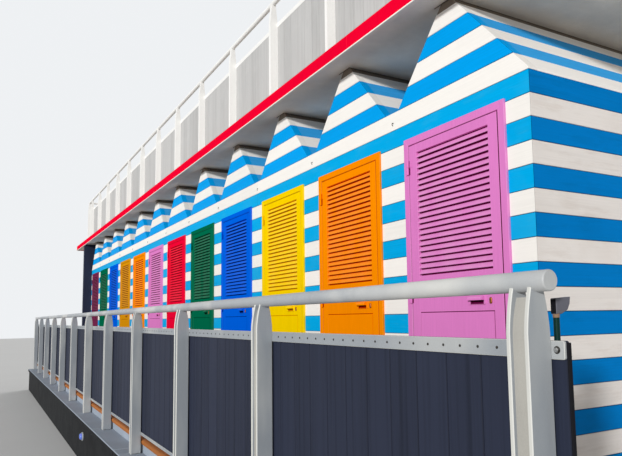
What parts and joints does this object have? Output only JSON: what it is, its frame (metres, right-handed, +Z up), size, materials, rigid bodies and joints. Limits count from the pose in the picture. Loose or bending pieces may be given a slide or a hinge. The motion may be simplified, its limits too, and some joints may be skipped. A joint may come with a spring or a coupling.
{
  "type": "beach cabin row",
  "caption": "Row of striped timber bathing cabins with louvred doors, on a raised railed walkway under a roof terrace.",
  "frame": {"origin": "on the ground, halfway along the cabin row, in the plane of the cabin fronts", "axes": "+X along the row towards the near end, +Y into the cabins, +Z up"},
  "size_m": [16.518, 3.624, 4.52],
  "materials": {
    "base_concrete": null,
    "kerb_concrete": null,
    "floor_concrete": null,
    "joist_timber": "sawn softwood",
    "deck_timber": "oiled orange-brown deck boards",
    "striped_boards": "painted boards, striped sky blue and white",
    "dark_render": "navy painted render",
    "pale_render": "pale painted render",
    "soffit_render": "grey painted render",
    "red_fascia": "crimson paint",
    "white_trim": "white paint",
    "white_metal": "white paint",
    "pale_grey_boards": "pale grey stained boards",
    "grey_metal": "light grey coated metal",
    "slate_boards": "slate grey stained boards",
    "black_trim": "black",
    "lamp_glass": "frosted cover",
    "dark_green_metal": "dark green paint",
    "hinge_steel": "brushed",
    "pink_paint": "gloss paint",
    "orange_paint": "gloss paint",
    "yellow_paint": "gloss paint",
    "blue_paint": "gloss paint",
    "green_paint": "gloss paint",
    "red_paint": "gloss paint",
    "amber_paint": "gloss paint",
    "plum_paint": "gloss paint"
  },
  "bodies": {
    "row": {"base": "base_concrete", "kerb": "kerb_concrete", "cabin_floor": "floor_concrete", "deck_joists": "joist_timber", "deck_boards": "deck_timber", "front_piers": "striped_boards", "front_header": "striped_boards", "gables": "striped_boards", "roof_slopes": "striped_boards", "valley_beams": "joist_timber", "near_end_wall": "striped_boards", "far_wing_wall": "dark_render", "back_wall": "pale_render", "door_casings": "pink_paint", "door_hinges": "hinge_steel", "terrace_slab": "soffit_render", "fascia": "red_fascia", "drip_edge": "white_trim", "terrace_posts": "white_metal", "terrace_panels": "pale_grey_boards", "terrace_rails": "white_metal", "terrace_handrails": "white_metal", "terrace_end_handrails": "white_metal", "rail_posts": "grey_metal", "rail_panels": "slate_boards", "rail_bars": "grey_metal", "handrail": "grey_metal", "rail_end_trims": "black_trim", "kerb_lamp": "lamp_glass", "marker_light": "dark_green_metal"},
    "door_01": {"door_01_leaf": "pink_paint", "door_01_handle": "pink_paint"},
    "door_02": {"door_02_leaf": "orange_paint", "door_02_handle": "orange_paint"},
    "door_03": {"door_03_leaf": "yellow_paint", "door_03_handle": "yellow_paint"},
    "door_04": {"door_04_leaf": "blue_paint", "door_04_handle": "blue_paint"},
    "door_05": {"door_05_leaf": "green_paint", "door_05_handle": "green_paint"},
    "door_06": {"door_06_leaf": "red_paint", "door_06_handle": "red_paint"},
    "door_07": {"door_07_leaf": "pink_paint", "door_07_handle": "pink_paint"},
    "door_08": {"door_08_leaf": "orange_paint", "door_08_handle": "orange_paint"},
    "door_09": {"door_09_leaf": "amber_paint", "door_09_handle": "amber_paint"},
    "door_10": {"door_10_leaf": "blue_paint", "door_10_handle": "blue_paint"},
    "door_11": {"door_11_leaf": "green_paint", "door_11_handle": "green_paint"},
    "door_12": {"door_12_leaf": "plum_paint", "door_12_handle": "plum_paint"}
  },
  "joints": [
    {"name": "door_01_hinge", "type": "hinge", "parent": "row", "child": "door_01", "pos_m": [5.9375, -0.021, 0.615], "axis": [0, 0, -1], "range_deg": [0, 100]},
    {"name": "door_02_hinge", "type": "hinge", "parent": "row", "child": "door_02", "pos_m": [4.7875, -0.021, 0.615], "axis": [0, 0, -1], "range_deg": [0, 100]},
    {"name": "door_03_hinge", "type": "hinge", "parent": "row", "child": "door_03", "pos_m": [3.6375, -0.021, 0.615], "axis": [0, 0, -1], "range_deg": [0, 100]},
    {"name": "door_04_hinge", "type": "hinge", "parent": "row", "child": "door_04", "pos_m": [2.4875, -0.021, 0.615], "axis": [0, 0, -1], "range_deg": [0, 100]},
    {"name": "door_05_hinge", "type": "hinge", "parent": "row", "child": "door_05", "pos_m": [1.3375, -0.021, 0.615], "axis": [0, 0, -1], "range_deg": [0, 100]},
    {"name": "door_06_hinge", "type": "hinge", "parent": "row", "child": "door_06", "pos_m": [0.1875, -0.021, 0.615], "axis": [0, 0, -1], "range_deg": [0, 100]},
    {"name": "door_07_hinge", "type": "hinge", "parent": "row", "child": "door_07", "pos_m": [-0.9625, -0.021, 0.615], "axis": [0, 0, -1], "range_deg": [0, 100]},
    {"name": "door_08_hinge", "type": "hinge", "parent": "row", "child": "door_08", "pos_m": [-2.1125, -0.021, 0.615], "axis": [0, 0, -1], "range_deg": [0, 100]},
    {"name": "door_09_hinge", "type": "hinge", "parent": "row", "child": "door_09", "pos_m": [-3.2625, -0.021, 0.615], "axis": [0, 0, -1], "range_deg": [0, 100]},
    {"name": "door_10_hinge", "type": "hinge", "parent": "row", "child": "door_10", "pos_m": [-4.4125, -0.021, 0.615], "axis": [0, 0, -1], "range_deg": [0, 100]},
    {"name": "door_11_hinge", "type": "hinge", "parent": "row", "child": "door_11", "pos_m": [-5.5625, -0.021, 0.615], "axis": [0, 0, -1], "range_deg": [0, 100]},
    {"name": "door_12_hinge", "type": "hinge", "parent": "row", "child": "door_12", "pos_m": [-6.7125, -0.021, 0.615], "axis": [0, 0, -1], "range_deg": [0, 100]}
  ]
}
